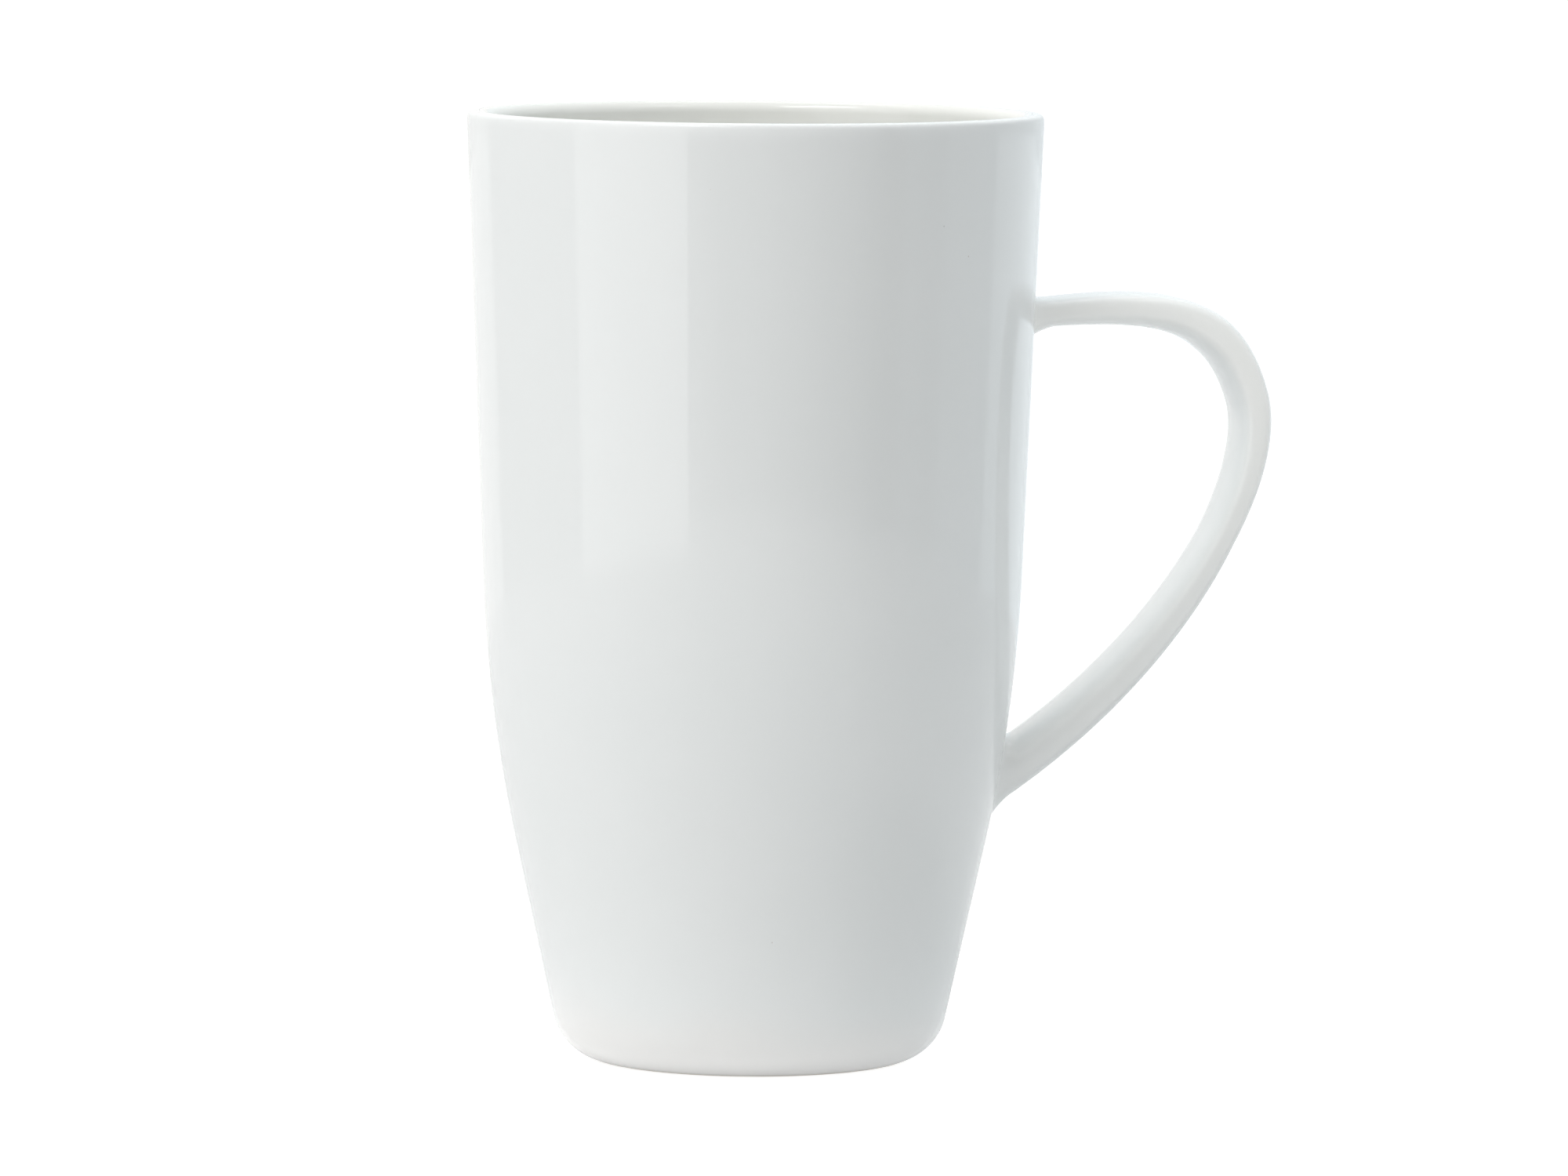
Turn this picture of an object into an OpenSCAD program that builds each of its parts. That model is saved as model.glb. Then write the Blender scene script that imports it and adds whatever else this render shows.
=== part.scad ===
// A tall porcelain mug with one strap handle, glazed inside and out, standing on a bare foot ring.
// Units are millimetres. The origin is the middle of the foot ring, on the plane it stands on.
// +Z is up and the handle points along +X.

/* [Cup] */
// Height from the table to the top of the lip
mug_h = 140; // [115:1:180]
// Radius at the rim, over the glaze
rim_r = 42.5; // [35:0.5:54]
// Radius where the straight upper wall meets the tapered lower wall
knee_r = 39; // [33:0.5:46]
// Height of that bend above the table
knee_z = 52; // [40:1:66]
// Radius of the long soft blend at the bend
knee_blend = 225; // [60:5:300]
// Radius that the lower wall aims at on the table plane
base_r = 27.6; // [22:0.2:36]
// Radius of the rounded corner between the lower wall and the underside
base_blend = 8; // [4:0.5:12]
// Thickness of the wall with its glaze, which also sets the full round lip
wall = 3.6; // [2.6:0.1:6]
// Thickness of the floor with its glaze
floor_t = 5; // [3.5:0.5:9]
// Radius of the corner inside, between the wall and the floor
floor_blend = 12; // [4:1:18]

/* [Foot] */
// Depth of the recess inside the foot ring, over its glaze
recess_h = 1.6; // [0.8:0.1:3]
// Width of the bare band that stands on the table, from its inner edge out to the start of the corner
foot_w = 2; // [1.2:0.1:3.5]
// Run of the foot ring's sloping inner side
foot_slope = 0.9; // [0.4:0.1:1.5]
// Angle up the rounded corner that is wiped bare of glaze
wipe_angle = 16; // [8:1:30]

/* [Handle] */
// Drop from the top of the lip to where the middle of the strap leaves the wall
upper_drop = 30; // [20:0.5:40]
// Height where the middle of the strap meets the wall at the bottom
lower_z = 42; // [30:0.5:52]
// Distance from the rim's edge out to the middle of the strap at its turn
reach = 31.7; // [24:0.1:45]
// Drop of that turn below where the strap leaves the wall
turn_drop = 12.3; // [8:0.1:20]
// Width of the strap, over the glaze
strap_w = 13.5; // [9:0.5:20]
// Thickness of the strap at the upper joint, over the glaze
strap_top = 4; // [3:0.1:8]
// Thickness of the strap at its turn
strap_turn = 6; // [3.5:0.1:9]
// Thickness of the strap at its thinnest, below the turn
strap_grip = 4.4; // [3.2:0.1:8]
// Thickness of the strap at the lower joint
strap_low = 6.7; // [4:0.1:10]

/* [Joints and glaze] */
// Thickness of the glaze coat
glaze = 0.3; // [0.2:0.05:0.5]
// Thickness of the slip bed between the handle's ends and the wall
slip_bed = 0.4; // [0.3:0.1:1]
// How far the slip's fillet spreads round the upper end of the handle
upper_spread = 2.4; // [1:0.1:3]
// Distance from the wall over which that fillet dies away
upper_run = 5; // [2:0.1:6]
// How far the slip's fillet spreads round the lower end
lower_spread = 1.1; // [0.8:0.1:2.5]
// Distance from the wall over which that one dies away
lower_run = 2.2; // [1.5:0.1:4]
// How far up the handle the slip collar reaches from the wall
collar_h = 2.2; // [1.5:0.1:3]
// Least thickness of the slip collar round the end of the handle
collar_t = 0.25; // [0.2:0.05:0.5]

/* [Hidden] */
round_fn = 180;
corner_steps = 14;
knee_steps = 12;
lip_steps = 10;
wipe_steps = 4;
section_points = 24;
// Exponent of the strap's rounded-bar section: 2 is an ellipse, larger is squarer
section_power = 4.5;
// How far each end of the strap runs on inside the wall before it is trimmed there
run_on = 4;
// Directions of the strap at its top joint, its turn and its lower joint, in degrees
leave_angle = 5.4;
turn_angle = 16;
meet_angle = 33.2;
// Pulls of the two curves that make the strap's middle line, as shares of what each curve spans
pull_top = 0.53;
pull_turn_in = 0.41;
pull_turn_out = 0.18;
pull_low = 0.49;

// ---- the cup's outline, in radius and height ----

base = [base_r, 0];
knee = [knee_r, knee_z];
rim = [rim_r, mug_h];
lower_dir = unit(knee - base);
upper_dir = unit(rim - knee);
lower_in = [-lower_dir.y, lower_dir.x];
upper_in = [-upper_dir.y, upper_dir.x];
// Middle of the full round lip
lip_c = [on_upper(wall / 2, mug_h - wall / 2), mug_h - wall / 2];
floor_z = recess_h + floor_t;
// The rounded corner at the base runs out flat on the table at the outer edge of the foot's flat
foot_out_r = corner_arc([0, 0], base, knee, base_blend)[0].x;
foot_in_r = foot_out_r - foot_w;
recess_r = foot_in_r - foot_slope;
corner_c = [foot_out_r, base_blend];

function unit(v) = v / norm(v);
function flip(path) = [for (i = [len(path) - 1:-1:0]) path[i]];

// Radius on the straight lower or upper run of the wall, a distance in from the outside, at height z
function on_lower(inset, z) =
    base.x + inset * lower_in.x + (z - inset * lower_in.y) * lower_dir.x / lower_dir.y;
function on_upper(inset, z) =
    knee.x + inset * upper_in.x + (z - knee.y - inset * upper_in.y) * upper_dir.x / upper_dir.y;
// The bend between the two runs, a distance in from the outside
function knee_at(inset) = knee + inset * (lower_in + upper_in) / (1 + lower_in * upper_in);

// An arc round a centre from one angle to another
function arc(centre, r, from, to, steps) =
    [for (i = [0:steps]) let (a = from + (to - from) * i / steps) centre + r * [cos(a), sin(a)]];
// The arc that rounds the corner b of the lines a-b and b-c
function corner_arc(a, b, c, r, steps = corner_steps) =
    let (u = unit(a - b), v = unit(c - b), half = acos(u * v) / 2)
    let (centre = b + unit(u + v) * r / sin(half))
    let (p = b + u * r / tan(half) - centre, q = b + v * r / tan(half) - centre)
    let (from = atan2(p.y, p.x), turn = (atan2(q.y, q.x) - from + 540) % 360 - 180)
    arc(centre, r, from, from + turn, steps);

// Angles of the outward directions from the lower wall and from the upper wall
lower_out = atan2(-lower_in.y, -lower_in.x);
upper_out = atan2(-upper_in.y, -upper_in.x);
// Angle round the base corner where the bare clay ends and the glaze starts
wipe_end = wipe_angle - 90;

// The outside of the cup from where the glaze starts on the corner up to the top of the lip
function outside(inset) =
    concat(
        arc(corner_c, base_blend - inset, wipe_end, lower_out, corner_steps),
        corner_arc(base + inset * lower_in, knee_at(inset), [on_upper(inset, mug_h), mug_h],
                   knee_blend - inset, knee_steps),
        arc(lip_c, wall / 2 - inset, upper_out, 90, lip_steps));
// The inside of the cup from the middle of the floor up to the top of the lip
function inside(cover) =
    let (z = floor_z - cover, depth = wall - cover)
    let (floor_corner = [on_lower(depth, z), z])
    concat(
        [[0, z]],
        corner_arc([0, z], floor_corner, knee_at(depth), floor_blend + cover),
        corner_arc(floor_corner, knee_at(depth), [on_upper(depth, mug_h), mug_h],
                   knee_blend - depth, knee_steps),
        arc(lip_c, wall / 2 - cover, upper_out + 180, 90, lip_steps));
// The bare foot, at full size: the roof of the recess, the ring with its sloping inner side and
// bevelled inner edge, and the wiped part of the corner
foot_bevel = 0.3;
recess_roof = recess_h + glaze;
slope_dir = unit([foot_slope, -recess_roof]);
foot_path = concat(
    [[0, recess_roof],
     [recess_r, recess_roof],
     [foot_in_r, 0] - foot_bevel * slope_dir,
     [foot_in_r + foot_bevel, 0]],
    arc(corner_c, base_blend, -90, wipe_end, wipe_steps));

// Outer radius of the finished cup at height z, for whatever sits on the wall
wall_table = [for (p = outside(0)) if (p.y < lip_c.y) [p.y, p.x]];
function wall_r(z) = lookup(z, wall_table);

// ---- the strap: a rounded bar swept along two joined curves in the XZ plane ----

upper_z = mug_h - upper_drop;
strap_start = [wall_r(upper_z), upper_z];
strap_far = [rim_r + reach, upper_z - turn_drop];
strap_end = [wall_r(lower_z), lower_z];
upper_span = norm(strap_far - strap_start);
lower_span = norm(strap_end - strap_far);
leave_dir = [cos(leave_angle), sin(leave_angle)];
turn_dir = [sin(turn_angle), -cos(turn_angle)];
meet_dir = [-cos(meet_angle), -sin(meet_angle)];
upper_curve = [strap_start, strap_start + pull_top * upper_span * leave_dir,
               strap_far - pull_turn_in * upper_span * turn_dir, strap_far];
lower_curve = [strap_far, strap_far + pull_turn_out * lower_span * turn_dir,
               strap_end - pull_low * lower_span * meet_dir, strap_end];

function curve_point(c, t) =
    pow(1 - t, 3) * c[0] + 3 * pow(1 - t, 2) * t * c[1] + 3 * (1 - t) * t * t * c[2] + pow(t, 3) * c[3];
function curve_dir(c, t) =
    unit(pow(1 - t, 2) * (c[1] - c[0]) + 2 * (1 - t) * t * (c[2] - c[1]) + t * t * (c[3] - c[2]));
// Stations run from 0 at the upper joint, through 1 at the turn, to 2 at the lower joint
function mid_point(u) =
    u < 0 ? strap_start + u * run_on * leave_dir
    : u > 2 ? strap_end + (u - 2) * run_on * meet_dir
    : u < 1 ? curve_point(upper_curve, u) : curve_point(lower_curve, u - 1);
function mid_dir(u) =
    u < 0 ? leave_dir
    : u > 2 ? meet_dir
    : u < 1 ? curve_dir(upper_curve, u) : curve_dir(lower_curve, u - 1);
function thickness(u) =
    lookup(u, [[0, strap_top], [0.7, strap_turn], [1.42, strap_grip], [2, strap_low]]);
// How far a fillet stands out at a distance from the wall
function spread_at(spread, run, gap) = spread * pow(1 - min(max(gap / run, 0), 1), 2);

// One point of the strap's surface: station u, angle a round the section, trimmed by an inset
function strap_point(u, a, inset, filleted) =
    let (c = mid_point(u), d = mid_dir(u), n = [-d.y, d.x])
    let (sx = sign(cos(a)) * pow(abs(cos(a)), 2 / section_power))
    let (sz = sign(sin(a)) * pow(abs(sin(a)), 2 / section_power))
    let (across = sx * (strap_w / 2 - inset), out = sz * (thickness(u) / 2 - inset))
    let (gap = norm([c.x + out * n.x, across]) - wall_r(c.y + out * n.y))
    let (spread = !filleted ? 0
                  : u < 1 ? spread_at(upper_spread, upper_run, gap)
                  : spread_at(lower_spread, lower_run, gap))
    let (push = spread * unit([sx * thickness(u), sz * strap_w]))
    [c.x + (out + push.y) * n.x, across + push.x, c.y + (out + push.y) * n.y];

// Stations in even steps from one value up to, but not including, another
function spaced(from, to, steps) = [for (i = [0:steps - 1]) from + (to - from) * i / steps];
// The rings stand closer together near the joints, where the fillets are
top_stations = concat(spaced(-0.75, 0, 3), spaced(0, 0.12, 7));
loop_stations = spaced(0.12, 1.86, 26);
low_stations = concat(spaced(1.86, 2, 8), spaced(2, 3, 4));

// A closed sweep of the strap through some stations
module strap(inset, filleted, stations) {
    n = section_points;
    last = len(stations) - 1;
    points = [for (u = stations)
                  for (j = [0:n - 1]) strap_point(u, (j + 0.5) * 360 / n, inset, filleted)];
    sides = [for (i = [0:last - 1])
                 for (j = [0:n - 1])
                     let (p = i * n, q = p + n, k = (j + 1) % n)
                     for (tri = [[p + j, q + j, q + k], [p + j, q + k, p + k]]) tri];
    first_cap = [for (j = [0:n - 1]) j];
    last_cap = [for (j = [n - 1:-1:0]) last * n + j];
    polyhedron(points, concat([first_cap], sides, [last_cap]));
}
// The whole strap with its filleted ends, each buried in the cup and run on a little further if asked
module whole_strap(inset, extra = 0) {
    strap(inset, true, concat([-1 - extra], top_stations, loop_stations, low_stations, [3 + extra]));
}
module top_strap(inset, filleted) {
    strap(inset, filleted, concat([-1], top_stations, [0.12, 0.16]));
}
module low_strap(inset, filleted) {
    strap(inset, filleted, concat([1.82], low_stations, [3]));
}
// The handle's two tenons: plain ends of the strap inside the slip collars
module tenons() {
    difference() {
        union() {
            top_strap(glaze + collar_t, false);
            low_strap(glaze + collar_t, false);
        }
        filled_cup(slip_bed);
    }
}

// The cup as a filled solid whose side stands a distance out from its clay
module filled_cup(over) {
    turned(concat([[0, base_blend]], outside(glaze - over), [[0, mug_h]]));
}
// A closed outline of radius and height, turned round the cup's axis
module turned(outline) {
    rotate_extrude($fn = round_fn)
        polygon(outline);
}

// ---- the pieces ----

// The cup itself: jiggered porcelain with a turned foot ring
module body() {
    color("ghostwhite")
        turned(concat(foot_path, outside(glaze), flip(inside(glaze))));
}

// The cast handle, with a plain tenon at each end that is cut to the curve of the wall
module handle() {
    color("whitesmoke")
        union() {
            difference() {
                whole_strap(glaze);
                filled_cup(collar_h);
            }
            tenons();
        }
}

// Slip that beds a tenon on the wall, and its smoothed collar that fills the fillet round it
module luting_slip() {
    color("linen")
        difference() {
            intersection() {
                children();
                filled_cup(collar_h);
            }
            tenons();
            filled_cup(0);
        }
}
module upper_luting_slip() luting_slip() top_strap(glaze, true);
module lower_luting_slip() luting_slip() low_strap(glaze, true);

// Liner glaze, poured in and swirled up to the middle of the lip
module inner_glaze() {
    color("lavender")
        turned(concat(inside(0), flip(inside(glaze))));
}

// Dipped glaze on the wall, from the middle of the lip down to the wiped corner
module outer_glaze() {
    color("white")
        difference() {
            turned(concat(outside(0), flip(outside(glaze))));
            top_strap(glaze, true);
            low_strap(glaze, true);
        }
}

// The patch of glaze in the recess inside the foot ring
module base_glaze() {
    color("white")
        turned([[0, recess_h],
                [recess_r + foot_slope * glaze / recess_roof, recess_h],
                [recess_r, recess_roof],
                [0, recess_roof]]);
}

// Dipped glaze over the handle and its two slip collars, down to the wall's own coat
module handle_glaze() {
    color("snow")
        difference() {
            whole_strap(0);
            whole_strap(glaze, extra = 0.1);
            filled_cup(glaze);
        }
}

body();
handle();
upper_luting_slip();
lower_luting_slip();
inner_glaze();
outer_glaze();
base_glaze();
handle_glaze();
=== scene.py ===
import math

import bpy
import numpy as np
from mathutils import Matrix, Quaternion, Vector


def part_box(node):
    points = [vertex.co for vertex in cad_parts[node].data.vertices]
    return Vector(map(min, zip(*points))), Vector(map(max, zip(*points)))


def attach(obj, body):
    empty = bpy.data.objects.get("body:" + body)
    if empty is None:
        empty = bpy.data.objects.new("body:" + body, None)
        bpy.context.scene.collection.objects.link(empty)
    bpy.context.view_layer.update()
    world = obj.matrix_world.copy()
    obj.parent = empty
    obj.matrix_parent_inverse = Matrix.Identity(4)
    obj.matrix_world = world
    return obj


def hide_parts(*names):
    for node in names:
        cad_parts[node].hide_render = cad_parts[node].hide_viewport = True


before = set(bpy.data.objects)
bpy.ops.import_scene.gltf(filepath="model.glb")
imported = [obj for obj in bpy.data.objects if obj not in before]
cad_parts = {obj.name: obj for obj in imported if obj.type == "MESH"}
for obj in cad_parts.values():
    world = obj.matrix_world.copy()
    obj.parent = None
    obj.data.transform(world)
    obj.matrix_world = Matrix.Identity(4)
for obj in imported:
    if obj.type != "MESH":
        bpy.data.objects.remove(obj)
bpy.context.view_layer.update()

# ---- The clay cup ----
# A tall cup of white porcelain, jiggered on a mould and fired to a dense, faintly warm biscuit. It stands on
# a ring that is turned on the wheel while leather-hard and wiped clean of glaze, so only that ring shows
# bare.

MM = 0.001
lip_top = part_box("inner_glaze")[1].z / MM
floor_top = 6.6
wall = 3.6
glaze_coat = 0.3
base_line = np.array([27.6, 0.0])
knee = np.array([39.0, 52.0])
rim = np.array([42.5, lip_top])
knee_blend = 225.0
base_blend = 8.0
floor_blend = 12.0
recess_roof = 1.9
foot_bevel = 0.3
wipe_start = -74.0


def unit(v):
    return v / np.linalg.norm(v)


lower_dir = unit(knee - base_line)
upper_dir = unit(rim - knee)
lower_in = np.array([-lower_dir[1], lower_dir[0]])
upper_in = np.array([-upper_dir[1], upper_dir[0]])
lower_out_angle = math.degrees(math.atan2(-lower_in[1], -lower_in[0]))
upper_out_angle = math.degrees(math.atan2(-upper_in[1], -upper_in[0]))


def on_lower(inset, z):
    """The straight lower run of the wall at height z, a distance in from the outside."""
    step = (z - inset * lower_in[1]) * lower_dir[0] / lower_dir[1]
    return np.array([base_line[0] + inset * lower_in[0] + step, z])


def on_upper(inset, z):
    """The straight upper run of the wall at height z, a distance in from the outside."""
    step = (z - knee[1] - inset * upper_in[1]) * upper_dir[0] / upper_dir[1]
    return np.array([knee[0] + inset * upper_in[0] + step, z])


def bend(inset):
    """The bend between the two runs, a distance in from the outside."""
    return knee + inset * (lower_in + upper_in) / (1 + lower_in @ upper_in)


def arc(centre, radius, start, end, steps):
    """Points round an arc, with its angles in degrees."""
    angles = np.radians(np.linspace(start, end, steps + 1))
    return [centre + radius * np.array([math.cos(a), math.sin(a)]) for a in angles]


def rounded(a, corner, b, radius, steps):
    """The arc that rounds the corner between the lines to a and to b."""
    u, v = unit(a - corner), unit(b - corner)
    half = math.acos(float(u @ v)) / 2
    centre = corner + unit(u + v) * radius / math.sin(half)
    p = corner + u * radius / math.tan(half) - centre
    q = corner + v * radius / math.tan(half) - centre
    start = math.degrees(math.atan2(p[1], p[0]))
    turn = (math.degrees(math.atan2(q[1], q[0])) - start + 540) % 360 - 180
    return arc(centre, radius, start, start + turn, steps)


lip_middle = on_upper(wall / 2, lip_top - wall / 2)
corner_middle = np.array([rounded(np.zeros(2), base_line, knee, base_blend, 1)[0][0], base_blend])
foot_outer = corner_middle[0]
foot_w = 2.0
foot_slope = 0.9
foot_inner = foot_outer - foot_w
recess_edge = foot_inner - foot_slope


def lip_shoulder(radius, steps=30, power=4.0):
    """The outer half of the lip: its shoulder is fuller than a round, and its top is nearly flat."""
    angles = np.linspace(0, math.pi / 2, steps + 1)
    ways = [np.array([math.cos(a), math.sin(a)]).clip(0) for a in angles]
    return [lip_middle + radius * way ** (2 / power) for way in ways]


def outside(inset, start=wipe_start):
    """The cup's outside from the corner at its base up to the top of the lip."""
    return (
        arc(corner_middle, base_blend - inset, start, lower_out_angle, 26)
        + rounded(on_lower(inset, 0.0), bend(inset), on_upper(inset, lip_top), knee_blend - inset, 26)
        + lip_shoulder(wall / 2 - inset)
    )


def inside(cover):
    """The cup's inside from the middle of the floor up to the top of the lip."""
    z, depth = floor_top - cover, wall - cover
    corner = on_lower(depth, z)
    return (
        [np.array([0.0, z])]
        + rounded(np.array([0.0, z]), corner, bend(depth), floor_blend + cover, 26)
        + rounded(corner, bend(depth), on_upper(depth, lip_top), knee_blend - depth, 20)
        + arc(lip_middle, wall / 2 - cover, upper_out_angle + 180, 90, 30)
    )


def stepped(points, longest):
    """The same outline, with its long straight runs cut into short steps."""
    out = [points[0]]
    for a, b in zip(points, points[1:]):
        count = max(1, math.ceil(np.linalg.norm(b - a) / longest))
        out += [a + (b - a) * k / count for k in range(1, count + 1)]
    return out


def add(tree, kind, sockets=(), **settings):
    """Adds a node, sets it up, and gives each named socket a value or a link."""
    node = tree.nodes.new(kind)
    for name, value in settings.items():
        setattr(node, name, value)
    for name, value in dict(sockets).items():
        if isinstance(value, bpy.types.NodeSocket):
            tree.links.new(value, node.inputs[name])
        else:
            node.inputs[name].default_value = value
    return node


def new_tree(name, inputs):
    """A Geometry Nodes tree with a geometry in and out and some named inputs."""
    tree = bpy.data.node_groups.new(name, "GeometryNodeTree")
    tree.interface.new_socket("Geometry", in_out="OUTPUT", socket_type="NodeSocketGeometry")
    tree.interface.new_socket("Geometry", in_out="INPUT", socket_type="NodeSocketGeometry")
    for label, kind in inputs:
        tree.interface.new_socket(label, in_out="INPUT", socket_type="NodeSocket" + kind)
    return tree, tree.nodes.new("NodeGroupInput").outputs


# The fired surface is never quite true: it swells and sinks by hundredths of a millimetre over a few
# centimetres, always inwards from the drawn outline, which is what bends the reflections a little.
fired_surface, given = new_tree(
    "fired_surface",
    [("Depth", "Float"), ("Wavelength", "Float"), ("Seed", "Float"), ("Material", "Material")],
)
place = add(fired_surface, "GeometryNodeInputPosition")
normal = add(fired_surface, "GeometryNodeInputNormal")
frequency = add(fired_surface, "ShaderNodeMath", {0: 1.0, 1: given["Wavelength"]}, operation="DIVIDE")
swell = add(
    fired_surface,
    "ShaderNodeTexNoise",
    {"Vector": place.outputs[0], "W": given["Seed"], "Scale": frequency.outputs[0], "Detail": 1.0},
    noise_dimensions="4D",
)
sink = add(fired_surface, "ShaderNodeMath", {0: swell.outputs[0], 1: given["Depth"]}, operation="MULTIPLY")
inwards = add(fired_surface, "ShaderNodeMath", {0: sink.outputs[0], 1: -1.0}, operation="MULTIPLY")
offset = add(
    fired_surface,
    "ShaderNodeVectorMath",
    {0: normal.outputs[0], "Scale": inwards.outputs[0]},
    operation="SCALE",
)
settled = add(
    fired_surface,
    "GeometryNodeSetPosition",
    {"Geometry": given["Geometry"], "Offset": offset.outputs[0]},
)
smooth = add(fired_surface, "GeometryNodeSetShadeSmooth", {"Geometry": settled.outputs[0]})
real = add(fired_surface, "GeometryNodeRealizeInstances", {"Geometry": smooth.outputs[0]})
coated = add(
    fired_surface,
    "GeometryNodeSetMaterial",
    {"Geometry": real.outputs[0], "Material": given["Material"]},
)
add(fired_surface, "NodeGroupOutput", {0: coated.outputs[0]})

# The wheel: it turns an outline in the XZ plane once round the cup's axis. A grid gets one row for each point
# of the outline and one column for each step round, and then closes where its first and last columns meet.
turned_outline, given = new_tree(
    "turned_outline",
    [
        ("Steps", "Int"),
        ("Depth", "Float"),
        ("Wavelength", "Float"),
        ("Seed", "Float"),
        ("Material", "Material"),
    ],
)
count = add(turned_outline, "GeometryNodeAttributeDomainSize", {"Geometry": given["Geometry"]})
columns = add(turned_outline, "ShaderNodeMath", {0: given["Steps"], 1: 1.0}, operation="ADD")
grid = add(
    turned_outline,
    "GeometryNodeMeshGrid",
    {"Vertices X": count.outputs["Point Count"], "Vertices Y": columns.outputs[0]},
)
index = add(turned_outline, "GeometryNodeInputIndex")
rows_in = add(
    turned_outline,
    "ShaderNodeMath",
    {0: index.outputs[0], 1: columns.outputs[0]},
    operation="DIVIDE",
)
row = add(turned_outline, "ShaderNodeMath", {0: rows_in.outputs[0]}, operation="FLOOR")
column = add(
    turned_outline,
    "ShaderNodeMath",
    {0: index.outputs[0], 1: columns.outputs[0]},
    operation="FLOORED_MODULO",
)
drawn = add(turned_outline, "GeometryNodeInputPosition")
point = add(
    turned_outline,
    "GeometryNodeSampleIndex",
    {"Geometry": given["Geometry"], "Value": drawn.outputs[0], "Index": row.outputs[0]},
    data_type="FLOAT_VECTOR",
)
share = add(turned_outline, "ShaderNodeMath", {0: column.outputs[0], 1: given["Steps"]}, operation="DIVIDE")
angle = add(turned_outline, "ShaderNodeMath", {0: share.outputs[0], 1: -2 * math.pi}, operation="MULTIPLY")
turned = add(
    turned_outline,
    "ShaderNodeVectorRotate",
    {"Vector": point.outputs[0], "Angle": angle.outputs[0]},
    rotation_type="Z_AXIS",
)
wrapped = add(
    turned_outline,
    "GeometryNodeSetPosition",
    {"Geometry": grid.outputs["Mesh"], "Position": turned.outputs[0]},
)
closed = add(
    turned_outline,
    "GeometryNodeMergeByDistance",
    {"Geometry": wrapped.outputs[0], "Distance": 1e-6},
)
finish = add(turned_outline, "GeometryNodeGroup", node_tree=fired_surface)
turned_outline.links.new(closed.outputs[0], finish.inputs["Geometry"])
for label in ("Depth", "Wavelength", "Seed", "Material"):
    turned_outline.links.new(given[label], finish.inputs[label])
whole = add(turned_outline, "GeometryNodeRealizeInstances", {"Geometry": finish.outputs[0]})
painted = add(
    turned_outline,
    "GeometryNodeSetMaterial",
    {"Geometry": whole.outputs[0], "Material": given["Material"]},
)
add(turned_outline, "NodeGroupOutput", {0: painted.outputs[0]})

SHARP = math.radians(32)
SWELL_ACROSS = 28 * MM
SWELL_SEED = 3.0


def made(name, mesh, tree, **inputs):
    """A piece made by running a mesh through a Geometry Nodes tree, as a plain mesh at the origin."""
    piece = bpy.data.objects.new(name, mesh)
    bpy.context.scene.collection.objects.link(piece)
    modifier = piece.modifiers.new(name, "NODES")
    modifier.node_group = tree
    sockets = {s.name: s.identifier for s in tree.interface.items_tree if s.in_out == "INPUT"}
    for label, value in inputs.items():
        modifier[sockets[label]] = value
    result = bpy.data.meshes.new_from_object(piece.evaluated_get(bpy.context.evaluated_depsgraph_get()))
    piece.modifiers.clear()
    piece.data = result
    result.name = name
    result.set_sharp_from_angle(angle=SHARP)
    return piece


def turn(name, outline, material, steps=256, depth=0.0):
    """A piece turned from a closed outline of radius and height in millimetres."""
    mesh = bpy.data.meshes.new(name + "_outline")
    points = [(r * MM, 0.0, z * MM) for r, z in outline]
    mesh.from_pydata(points, [(i, i + 1) for i in range(len(points) - 1)], [])
    return made(
        name,
        mesh,
        turned_outline,
        Steps=steps,
        Depth=depth * MM,
        Wavelength=SWELL_ACROSS,
        Seed=SWELL_SEED,
        Material=material,
    )


def srgb(code):
    """A colour from its sRGB hex code, made linear."""
    parts = [int(code[i:i + 2], 16) / 255 for i in (1, 3, 5)]
    return [c / 12.92 if c <= 0.04045 else ((c + 0.055) / 1.055) ** 2.4 for c in parts] + [1.0]


def new_material(name, **values):
    """A material with a Principled shader, its uniform values, and Object coordinates."""
    material = bpy.data.materials.new(name)
    material.use_nodes = True
    tree = material.node_tree
    tree.nodes.clear()
    shader = add(tree, "ShaderNodeBsdfPrincipled", {k.replace("_", " "): v for k, v in values.items()})
    add(tree, "ShaderNodeOutputMaterial", {"Surface": shader.outputs[0]})
    place = add(tree, "ShaderNodeTexCoord").outputs["Object"]
    return material, tree, shader.inputs, place


# Biscuit porcelain, vitrified and bare: a dense matte white with a fine tooth, very slightly warm beside the
# glaze, with grey scuffs where the ring has been slid about on tables.
biscuit, tree, shader, place = new_material("bare_porcelain", IOR=1.5)
grain = add(tree, "ShaderNodeTexNoise", {"Vector": place, "Scale": 1 / (0.5 * MM), "Detail": 3.0})
patch = add(tree, "ShaderNodeTexNoise", {"Vector": place, "Scale": 1 / (7 * MM), "Detail": 2.0})
clay = add(tree, "ShaderNodeMix", {"Factor": patch.outputs[0]}, data_type="RGBA")
clay.inputs[6].default_value = srgb("#ebe7e0")
clay.inputs[7].default_value = srgb("#ded9d0")
height = add(tree, "ShaderNodeSeparateXYZ", {0: place})
on_table = add(
    tree,
    "ShaderNodeMapRange",
    {"Value": height.outputs[2], "From Min": 0.15 * MM, "From Max": 0.02 * MM},
)
scuff = add(tree, "ShaderNodeMapRange", {"Value": grain.outputs[0], "From Min": 0.5, "From Max": 0.66})
wear = add(tree, "ShaderNodeMath", {0: on_table.outputs[0], 1: scuff.outputs[0]}, operation="MULTIPLY")
worn = add(tree, "ShaderNodeMix", {"Factor": wear.outputs[0]}, data_type="RGBA")
worn.inputs[7].default_value = srgb("#a9a49b")
tree.links.new(clay.outputs[2], worn.inputs[6])
tree.links.new(worn.outputs[2], shader["Base Color"])
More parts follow.
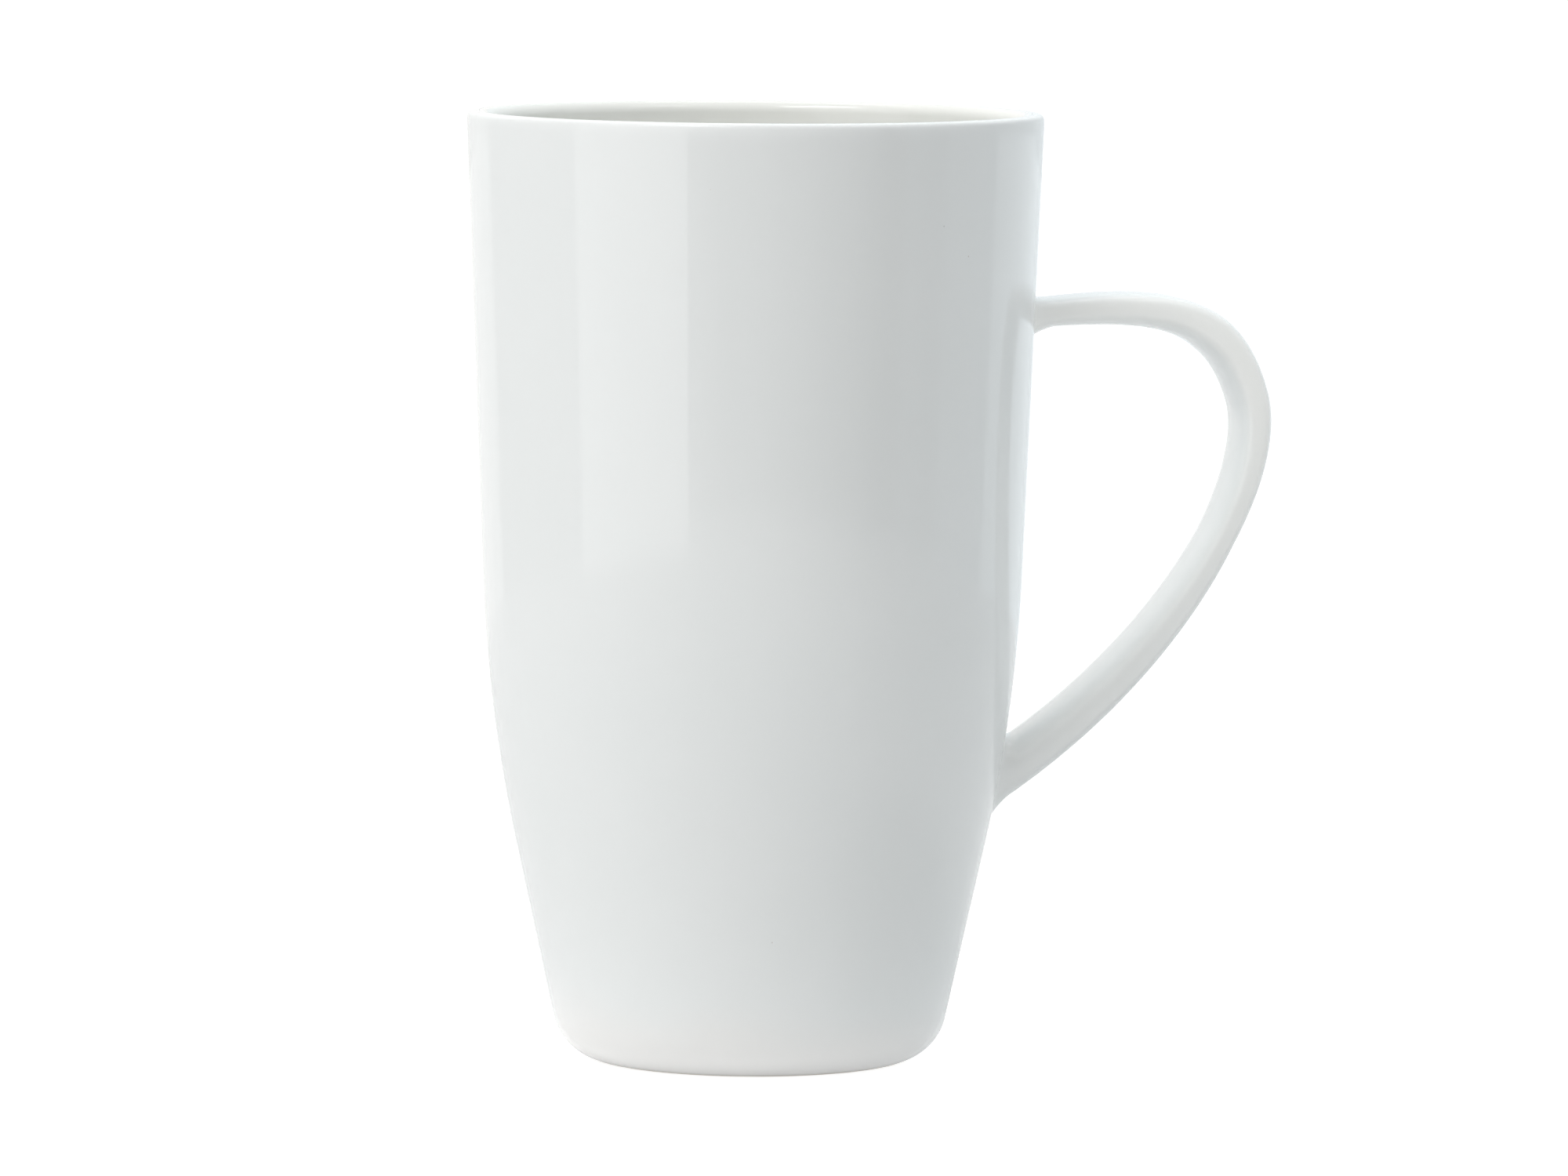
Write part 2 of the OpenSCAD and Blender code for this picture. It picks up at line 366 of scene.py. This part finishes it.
tooth = add(tree, "ShaderNodeMapRange", {"Value": grain.outputs[0], "To Min": 0.62, "To Max": 0.85})
tree.links.new(tooth.outputs[0], shader["Roughness"])
rough = add(tree, "ShaderNodeBump", {"Height": grain.outputs[0], "Distance": 0.05 * MM, "Strength": 0.5})
tree.links.new(rough.outputs[0], shader["Normal"])

foot_outline = (
    [np.array([0.0, recess_roof]), np.array([recess_edge, recess_roof])]
    + rounded(
        np.array([recess_edge, recess_roof]),
        np.array([foot_inner, 0.0]),
        np.array([foot_outer, 0.0]),
        foot_bevel,
        6,
    )
    + arc(corner_middle, base_blend, -90, wipe_start, 6)
)
clay_cup = turn(
    "porcelain_cup",
    stepped(foot_outline + outside(glaze_coat) + inside(glaze_coat)[::-1], 4.0),
    biscuit,
)
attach(clay_cup, "root")
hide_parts("body")

# ---- The glaze on the wall ----
# A clear lime glaze over white porcelain, dipped and fired to a hard gloss. It ends at the middle of the lip,
# where it meets the liner, and in a small rolled edge above the foot, where a sponge wiped it away.

WAVE = 0.05


def glaze_material(name, light, deep, thin):
    """Clear glaze over porcelain: a deep gloss on a body colour that drifts with its thickness."""
    material, tree, shader, place = new_material(name, IOR=1.52)
    drift = add(tree, "ShaderNodeTexNoise", {"Vector": place, "Scale": 1 / (30 * MM), "Detail": 2.0})
    body = add(tree, "ShaderNodeMix", {"Factor": drift.outputs[0]}, data_type="RGBA")
    body.inputs[6].default_value = srgb(light)
    body.inputs[7].default_value = srgb(deep)
    # Towards the foot the coat has run thin, so the warmer clay shows through below a soft wandering line.
    height = add(tree, "ShaderNodeSeparateXYZ", {0: place})
    sway = add(tree, "ShaderNodeMath", {0: drift.outputs[0], 1: 9 * MM}, operation="MULTIPLY")
    level = add(tree, "ShaderNodeMath", {0: height.outputs[2], 1: sway.outputs[0]}, operation="ADD")
    low = add(
        tree,
        "ShaderNodeMapRange",
        {"Value": level.outputs[0], "From Min": 17 * MM, "From Max": 8 * MM},
        interpolation_type="SMOOTHSTEP",
    )
    thinned = add(tree, "ShaderNodeMix", {"Factor": low.outputs[0]}, data_type="RGBA")
    tree.links.new(body.outputs[2], thinned.inputs[6])
    thinned.inputs[7].default_value = srgb(thin)
    # A few iron specks and open pinholes, each about a third of a millimetre across, as white ware has. The
    # specks' brown is their own colour, and the pinholes' grey is painted shade inside the pits.
    specks_and_pit_shade = thinned.outputs[2]
    pit_depth_and_shade = None
    for cell, size, colour in ((12 * MM, 0.16 * MM, "#a08c78"), (17 * MM, 0.2 * MM, "#8c8c88")):
        spots = add(tree, "ShaderNodeTexVoronoi", {"Vector": place, "Scale": 1 / cell})
        edge = size / cell
        spot = add(
            tree,
            "ShaderNodeMapRange",
            {"Value": spots.outputs["Distance"], "From Min": edge, "From Max": 0.5 * edge, "To Max": 0.45},
        )
        mix = add(tree, "ShaderNodeMix", {"Factor": spot.outputs[0]}, data_type="RGBA")
        tree.links.new(specks_and_pit_shade, mix.inputs[6])
        mix.inputs[7].default_value = srgb(colour)
        specks_and_pit_shade, pit_depth_and_shade = mix.outputs[2], spot.outputs[0]
    tree.links.new(specks_and_pit_shade, shader["Base Color"])
    # The gloss is all but perfect, a touch softer where the coat is thick.
    gloss = add(tree, "ShaderNodeMapRange", {"Value": drift.outputs[0], "To Min": 0.03, "To Max": 0.075})
    tree.links.new(gloss.outputs[0], shader["Roughness"])
    # Orange peel: dimples 3 mm across and up to 4 microns deep, with the pinholes sunk through them.
    peel = add(tree, "ShaderNodeTexNoise", {"Vector": place, "Scale": 1 / (3 * MM), "Detail": 1.0})
    sunk = add(tree, "ShaderNodeMath", {0: pit_depth_and_shade, 1: -6.0, 2: peel.outputs[0]}, operation="MULTIPLY_ADD")
    dimpled = add(tree, "ShaderNodeBump", {"Height": sunk.outputs[0], "Distance": 0.004 * MM})
    tree.links.new(dimpled.outputs[0], shader["Normal"])
    return material


dipped = glaze_material("dipped_clear_glaze", "#eff1f1", "#ebeeee", "#eeeeed")
nose = arc(
    corner_middle + (base_blend - glaze_coat / 2) * np.array(
        [math.cos(math.radians(wipe_start)), math.sin(math.radians(wipe_start))]
    ),
    glaze_coat / 2,
    wipe_start - 180,
    wipe_start,
    8,
)
# Surface tension gathers the coat into a low roll just under the lip.
roll_drop, roll_height, roll_width = 2.2, 0.02, 0.7


def with_roll(p):
    swell = roll_height * math.exp(-(((p[1] - lip_top + roll_drop) / roll_width) ** 2))
    return p + np.array([swell if p[0] > lip_middle[0] else 0.0, 0.0])


outer_skin = [with_roll(p) for p in stepped(outside(0.0), 0.9)]
wall_shell = nose[:-1] + outer_skin + stepped(outside(glaze_coat)[::-1], 5.0)
wall_glaze = turn("wall_glaze", wall_shell, dipped, depth=WAVE)
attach(wall_glaze, "root")
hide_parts("outer_glaze")

# ---- The liner glaze ----
# The same glaze, poured in, swirled round and poured out, so it lies a little thicker in the corner of the
# floor and a touch warmer than the dipped coat.

liner = glaze_material("poured_liner_glaze", "#f0f1ee", "#ebece8", "#ebece8")
liner_shell = stepped(inside(0.0), 1.8) + stepped(inside(glaze_coat)[::-1], 5.0)
liner_glaze = turn("liner_glaze", liner_shell[::-1], liner, depth=WAVE)
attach(liner_glaze, "root")
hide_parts("inner_glaze")

# ---- The glaze under the foot ----
# A round patch of the dipped glaze that stays in the recess when the ring is wiped. It lies under the floor,
# and the bare ring cuts it off from the coat on the wall.

patch_edge = recess_edge + foot_slope / recess_roof * glaze_coat
recess_outline = [
    np.array([0.0, recess_roof]),
    np.array([recess_edge, recess_roof]),
    np.array([patch_edge, recess_roof - glaze_coat]),
    np.array([0.0, recess_roof - glaze_coat]),
]
recess_glaze = turn("recess_glaze", stepped(recess_outline, 1.5)[::-1], dipped, steps=128)
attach(recess_glaze, "root")
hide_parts("base_glaze")

# ---- The glaze on the handle ----
# The dipped coat carried on over the strap, with a fillet at each end. The bottom one is short and crisp and
# meets the wall without an edge. The top one is drawn long and full, but it starts inside the wall, so only
# its outer part shows and it meets the wall at an edge.

strap_w = 13.5
outer_power = 4.2
inner_power = 2.7
around = 96
# For each joint: how far its fillet spreads and how far it runs out, in millimetres, the share of the spread
# that its top side gets, and the stations along the strap that lie inside the wall and clear of it.
joints = {
    "upper": {"spread": 2.4, "run": 5.0, "top": 0.4, "inside": -0.75, "clear": 0.2},
    "lower": {"spread": 1.1, "run": 2.2, "top": 1.0, "inside": 2.75, "clear": 1.88},
}
# Known fault: this outline stops at the top of the bend, because the lip's first point is level with
# lip_middle and is left out. So wall_radius() reads 1.5 mm short at the top joint, and the strap and its
# fillet start that far inside the wall. With <= here the outline reaches the lip.
wall_outline = np.array([p for p in outside(0.0) if p[1] < lip_middle[1]])


def wall_radius(z):
    return np.interp(z, wall_outline[:, 1], wall_outline[:, 0])


def heading(degrees):
    return np.array([math.cos(math.radians(degrees)), math.sin(math.radians(degrees))])


upper_z, reach, turn_drop, lower_z = lip_top - 30.0, 31.63, 12.3, 42.0
strap_start = np.array([wall_radius(upper_z), upper_z])
strap_far = np.array([rim[0] + reach, upper_z - turn_drop])
strap_end = np.array([wall_radius(lower_z), lower_z])
leave, turned_down, meet = heading(5.4), heading(-74.0), heading(180 + 33.2)
leave_pull, above_turn, below_turn, meet_pull = 0.53, 0.41, 0.18, 0.49
thick_at, thickness = [0, 0.7, 1.42, 2], [4.0, 6.0, 4.4, 6.7]
beyond_ends = 4.0
upper_span = np.linalg.norm(strap_far - strap_start)
lower_span = np.linalg.norm(strap_end - strap_far)
upper_curve = np.array([
    strap_start,
    strap_start + leave_pull * upper_span * leave,
    strap_far - above_turn * upper_span * turned_down,
    strap_far,
])
lower_curve = np.array([
    strap_far,
    strap_far + below_turn * lower_span * turned_down,
    strap_end - meet_pull * lower_span * meet,
    strap_end,
])


def middle_line(u):
    """Points and directions along the strap's middle: 0 at the top joint, 1 at the turn, 2 at the bottom."""
    u = np.asarray(u, float)
    points, ways = np.zeros(u.shape + (2,)), np.zeros(u.shape + (2,))
    for curve, first, here in ((upper_curve, 0.0, u < 1), (lower_curve, 1.0, u >= 1)):
        t = np.clip(u[here] - first, 0, 1)[:, None]
        points[here] = (
            (1 - t) ** 3 * curve[0]
            + 3 * (1 - t) ** 2 * t * curve[1]
            + 3 * (1 - t) * t * t * curve[2]
            + t ** 3 * curve[3]
        )
        way = (
            (1 - t) ** 2 * (curve[1] - curve[0])
            + 2 * (1 - t) * t * (curve[2] - curve[1])
            + t * t * (curve[3] - curve[2])
        )
        ways[here] = way / np.linalg.norm(way, axis=1)[:, None]
    points += np.minimum(u, 0)[..., None] * beyond_ends * leave
    points += np.maximum(u - 2, 0)[..., None] * beyond_ends * meet
    return points, ways


turns = (np.arange(around) + 0.5) * 2 * math.pi / around
power = np.where(np.sin(turns) > 0, outer_power, inner_power)
side = np.sign(np.cos(turns)) * np.abs(np.cos(turns)) ** (2 / power)
face = np.sign(np.sin(turns)) * np.abs(np.sin(turns)) ** (2 / power)


def strap_ring(u, spread=0.0):
    """One ring of the strap, with a station for each point, and how far the fillet pushes them out."""
    middle, way = middle_line(u)
    thick = np.interp(u, thick_at, thickness)
    push = np.stack([side * thick, face * strap_w], 1)
    push = (spread / np.linalg.norm(push, axis=1))[:, None] * push
    across = side * strap_w / 2 + push[:, 0]
    out = face * thick / 2 + push[:, 1]
    x = middle[:, 0] - way[:, 1] * out
    z = middle[:, 1] + way[:, 0] * out
    return np.stack([x, across, z], 1), np.stack([way[:, 0], 0 * out, way[:, 1]], 1)


def gap(points):
    """How far points stand out from the finished wall."""
    return np.hypot(points[:, 0], points[:, 1]) - wall_radius(points[:, 2])


def station_at(joint, distance):
    """The station where each line along the strap comes to a distance from the wall."""
    near, far = np.full(around, joint["inside"]), np.full(around, joint["clear"])
    for _ in range(40):
        half = (near + far) / 2
        short = gap(strap_ring(half)[0]) < distance
        near, far = np.where(short, half, near), np.where(short, far, half)
    return (near + far) / 2


def fillet(joint, steps=18, fullness=1.5):
    """Rings from the wall out to where the fillet has died away, and then on to the joint's clear station."""
    rings = []
    for k in range(steps + 1):
        a = math.pi / 2 * k / steps
        distance = joint["run"] * (1 - math.cos(a) ** (2 / fullness))
        spread = joint["spread"] * (1 - math.sin(a) ** (2 / fullness))
        spread = spread * (1 - (1 - joint["top"]) * np.clip(face, 0, 1))
        points, way = strap_ring(station_at(joint, distance), spread)
        for _ in range(6):
            outward = points.copy()
            outward[:, 2] = 0
            outward /= np.linalg.norm(outward, axis=1)[:, None]
            rate = (way * outward).sum(1)
            points += ((distance - gap(points)) / rate)[:, None] * way
        rings.append(points)
    last = station_at(joint, joint["run"])
    for k in range(1, 6):
        rings.append(strap_ring(last + (joint["clear"] - last) * k / 6)[0])
    return rings


between = np.linspace(joints["upper"]["clear"], joints["lower"]["clear"], 96)
loop = [strap_ring(np.full(around, u))[0] for u in between]
skin = np.array(fillet(joints["upper"]) + loop + fillet(joints["lower"])[::-1])
along = np.gradient(skin, axis=0)
round_it = np.roll(skin, -1, axis=1) - np.roll(skin, 1, axis=1)
out_of = np.cross(round_it, along)
out_of /= np.linalg.norm(out_of, axis=2)[..., None]
shell = np.concatenate([skin, (skin - glaze_coat * out_of)[::-1]])
ring_count = len(shell)
faces = [
    (
        i * around + j,
        i * around + (j + 1) % around,
        (i + 1) % ring_count * around + (j + 1) % around,
        (i + 1) % ring_count * around + j,
    )
    for i in range(ring_count)
    for j in range(around)
]
strap_mesh = bpy.data.meshes.new("strap_shell")
strap_mesh.from_pydata((shell.reshape(-1, 3) * MM).tolist(), [], faces)
strap_glaze = made(
    "handle_glaze_coat",
    strap_mesh,
    fired_surface,
    Depth=WAVE * MM,
    Wavelength=SWELL_ACROSS,
    Seed=SWELL_SEED,
    Material=dipped,
)
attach(strap_glaze, "root")
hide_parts("handle_glaze")

# ---- The handle's clay and its slip ----
# A strap cast in a plaster mould, cut to the curve of the wall and luted on with slip, which is sponged into
# a small collar at each end. They fill the glaze's own inside, and the glaze hides them.

clearance = 0.02
inner = skin - (glaze_coat + clearance) * out_of
collar_rings = 14


def bar(name, rings, slot_name, *nodes):
    """A closed bar through some rings, with a flat end at each."""
    last = len(rings) - 1
    quads = [
        (
            i * around + j,
            i * around + (j + 1) % around,
            (i + 1) * around + (j + 1) % around,
            (i + 1) * around + j,
        )
        for i in range(last)
        for j in range(around)
    ]
    ends = [tuple(range(around))[::-1], tuple(last * around + j for j in range(around))]
    mesh = bpy.data.meshes.new(name)
    mesh.from_pydata((rings.reshape(-1, 3) * MM).tolist(), [], quads + ends)
    mesh.materials.append(biscuit)
    mesh.shade_smooth()
    mesh.set_sharp_from_angle(angle=SHARP)
    piece = bpy.data.objects.new(name, mesh)
    bpy.context.scene.collection.objects.link(piece)
    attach(piece, "root")
    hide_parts(*nodes)


bar("cast_handle", inner[collar_rings:-collar_rings], "porcelain_handle", "handle")
bar("upper_slip", inner[:collar_rings + 1], "luting_slip", "upper_luting_slip")
bar("lower_slip", inner[-collar_rings - 1:], "luting_slip", "lower_luting_slip")

# ---- The table and the light ----
# A plain white table, lit evenly enough to read as one white field. Soft light comes from a wide box on the
# left in front, white boards round the sides and back, and four round lamps overhead. The room is dim in
# front.

camera_bearing = 10.0


def bearing(degrees):
    """A level direction: nought is towards the camera, and positive turns to its right."""
    turn_by = math.radians(degrees - camera_bearing - 90)
    return Vector((math.cos(turn_by), math.sin(turn_by), 0))


floor_mesh = bpy.data.meshes.new("table_top")
far = 40.0
below = -0.02 * MM
floor_mesh.from_pydata(
    [(-far, -far, below), (far, -far, below), (far, far, below), (-far, far, below)],
    [],
    [(0, 1, 2, 3)],
)
floor = bpy.data.objects.new("table_top", floor_mesh)
bpy.context.scene.collection.objects.link(floor)
table = bpy.data.materials.new("white_laminate")
table.use_nodes = True
tree = table.node_tree
tree.nodes.clear()
path = add(tree, "ShaderNodeLightPath")
place = add(tree, "ShaderNodeTexCoord").outputs["Object"]
# To every other ray the table has a faint painted glow close to the foot, and one painted shadow, a darker
# patch, on the right.
reach_out = add(tree, "ShaderNodeVectorMath", {0: place}, operation="LENGTH")
near_foot = add(
    tree,
    "ShaderNodeMapRange",
    {"Value": reach_out.outputs["Value"], "From Min": 80 * MM, "From Max": 20 * MM, "To Max": 0.25},
    interpolation_type="SMOOTHSTEP",
)
painted_foot_glow = add(tree, "ShaderNodeEmission", {"Color": (1, 1, 1, 1), "Strength": near_foot.outputs[0]})
# The painted shadow: the table's colour darkens towards a point on the cup's right, where the cup's own
# shadow falls.
from_shade = add(tree, "ShaderNodeVectorMath", {0: place, 1: bearing(72) * 0.095}, operation="DISTANCE")
shaded = add(
    tree,
    "ShaderNodeMapRange",
    {"Value": from_shade.outputs["Value"], "From Min": 75 * MM, "From Max": 15 * MM, "To Max": 0.38},
    interpolation_type="SMOOTHSTEP",
)
painted_shadow_tone = add(tree, "ShaderNodeMix", {"Factor": shaded.outputs[0]}, data_type="RGBA")
painted_shadow_tone.inputs[6].default_value = srgb("#e6e6e6")
painted_shadow_tone.inputs[7].default_value = srgb("#3c3c3c")
white = add(tree, "ShaderNodeBsdfDiffuse", {"Color": painted_shadow_tone.outputs[2]})
real_table = add(tree, "ShaderNodeAddShader", {0: painted_foot_glow.outputs[0], 1: white.outputs[0]})
pale = add(tree, "ShaderNodeBsdfDiffuse", {"Color": srgb("#a0a0a0")})
field_light = 0.86
glow = add(tree, "ShaderNodeEmission", {"Color": (1, 1, 1, 1), "Strength": field_light})
field = add(tree, "ShaderNodeAddShader", {0: glow.outputs[0], 1: pale.outputs[0]})
mixed = add(
    tree,
    "ShaderNodeMixShader",
    {0: path.outputs["Is Camera Ray"], 1: real_table.outputs[0], 2: field.outputs[0]},
)
add(tree, "ShaderNodeOutputMaterial", {"Surface": mixed.outputs[0]})
floor_mesh.materials.append(table)

# Upright boards round the table, each a strip of an arc: bearings in degrees, nought towards the camera and
# positive to the right, then the light from its foot and from the rest of it.
BOARDS = [
    (-180, -130, 1.05, 0.95), (-130, -95, 0.74, 0.70), (-95, -74, 0.74, 0.74), (-74, -32, 1.12, 0.90),
    (-32, -15, 0.40, 0.96), (-15, 5, 0.25, 0.80), (5, 24, 0.19, 0.52), (24, 42, 0.10, 0.28),
    (42, 60, 0.03, 0.12), (60, 80, 0.46, 0.66), (80, 110, 0.84, 0.82), (110, 155, 1.20, 0.96),
    (155, 180, 1.05, 0.95),
]
board_radius = 0.56
foot_high = 0.10
board_high = 0.85
daylight = (0.91, 0.97, 1.0, 1.0)
lamplight = (1.0, 1.0, 0.99, 1.0)
daylight_from = 60


def lit_panel(name, points, quads, strength, colour):
    mesh = bpy.data.meshes.new(name)
    mesh.from_pydata([tuple(p) for p in points], [], quads)
    panel = bpy.data.objects.new(name, mesh)
    bpy.context.scene.collection.objects.link(panel)
    glow = bpy.data.materials.new(name)
    glow.use_nodes = True
    glow.node_tree.nodes.clear()
    lit = add(glow.node_tree, "ShaderNodeEmission", {"Color": colour, "Strength": strength})
    add(glow.node_tree, "ShaderNodeOutputMaterial", {"Surface": lit.outputs[0]})
    mesh.materials.append(glow)
    panel.visible_camera = False
    panel.visible_shadow = False
    return panel


for number, (start, end, low, high) in enumerate(BOARDS):
    steps = max(2, round((end - start) / 4))
    rail = [bearing(start + (end - start) * k / steps) * board_radius for k in range(steps + 1)]
    quads = [(2 * k, 2 * k + 1, 2 * k + 3, 2 * k + 2) for k in range(steps)]
    colour = daylight if start >= daylight_from else lamplight
    parts = (("foot", low, 0.001, foot_high), ("board", high, foot_high, board_high))
    for part, strength, bottom, top in parts:
        points = [p + Vector((0, 0, z)) for p in rail for z in (bottom, top)]
        lit_panel("%s_%02d" % (part, number), points, quads, strength, colour)

# The round lamps: bearing and elevation in degrees, radius in metres, and light.
lamp_away = 1.15
LAMPS = [(-45, 62, 0.28, 5.6), (-165, 50, 0.50, 2.0), (0, 82, 0.28, 1.0), (62, 55, 0.28, 2.0)]
for number, (towards, up, radius, strength) in enumerate(LAMPS):
    aim = bearing(towards) * math.cos(math.radians(up)) + Vector((0, 0, math.sin(math.radians(up))))
    tilt = aim.to_track_quat("Z", "Y")
    ring = [math.radians(15 * k) for k in range(24)]
    middle_at = aim * lamp_away
    points = [middle_at + tilt @ Vector((radius * math.cos(a), radius * math.sin(a), 0)) for a in ring]
    lit_panel("lamp_%02d" % number, points, [tuple(range(24))], strength, lamplight)

# The crisp face of the wide box, which only the gloss shows.
box_away, box_light = 0.50, 1.6
rail = [bearing(a) * box_away for a in range(-74, -25, 6)]
points = [p + Vector((0, 0, z)) for p in rail for z in (0.004, board_high)]
face_quads = [(2 * k, 2 * k + 1, 2 * k + 3, 2 * k + 2) for k in range(len(rail) - 1)]
box_face = lit_panel("box_face", points, face_quads, box_light, lamplight)
box_face.visible_diffuse = False

# A small card close to the handle. It lights the strap alone, which stands for the light that a thin strap of
# porcelain lets through from the bright field behind it.
card_at, card_half, card_light = Vector((0.087, -0.085, 0.122)), 0.025, 1.8
card_tilt = (Vector((0.068, 0, 0.095)) - card_at).to_track_quat("Z", "Y")
square = ((-1, -1), (1, -1), (1, 1), (-1, 1))
corners = [card_at + card_tilt @ Vector((u * card_half, v * card_half, 0)) for u, v in square]
warm = (1.0, 0.93, 0.84, 1.0)
card = lit_panel("strap_card", corners, [(0, 1, 2, 3)], card_light, warm)
card.visible_glossy = False
strap_only = bpy.data.collections.new("strap_only")
strap_only.objects.link(strap_glaze)
card.light_linking.receiver_collection = strap_only

room_light = 0.89
world = bpy.data.worlds.new("studio")
world.use_nodes = True
world.node_tree.nodes["Background"].inputs[0].default_value = (1, 1, 1, 1)
world.node_tree.nodes["Background"].inputs[1].default_value = room_light
bpy.context.scene.world = world
bpy.context.scene.view_settings.view_transform = "Standard"

# ---- The camera ----
# A long lens a metre and a half away, a little above the lip. It stands ten degrees round from square on to
# the handle's side, on the side away from the handle, and leans by under half a degree.

middle = (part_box("outer_glaze")[0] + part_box("outer_glaze")[1]) / 2
look_at = middle + Vector((4.58, -0.81, -0.39)) * MM
stand = Vector((-0.2740, -1.5539, 0.2062))
lens = bpy.data.cameras.new("camera")
lens.lens = 246.6
lens.sensor_width = 36.0
lens.clip_end = 200.0
camera = bpy.data.objects.new("camera", lens)
camera.location = stand
camera.rotation_mode = "QUATERNION"
roll = Quaternion((0, 0, 1), math.radians(0.427))
camera.rotation_quaternion = (look_at - stand).to_track_quat("-Z", "Y") @ roll
bpy.context.scene.collection.objects.link(camera)
bpy.context.scene.camera = camera
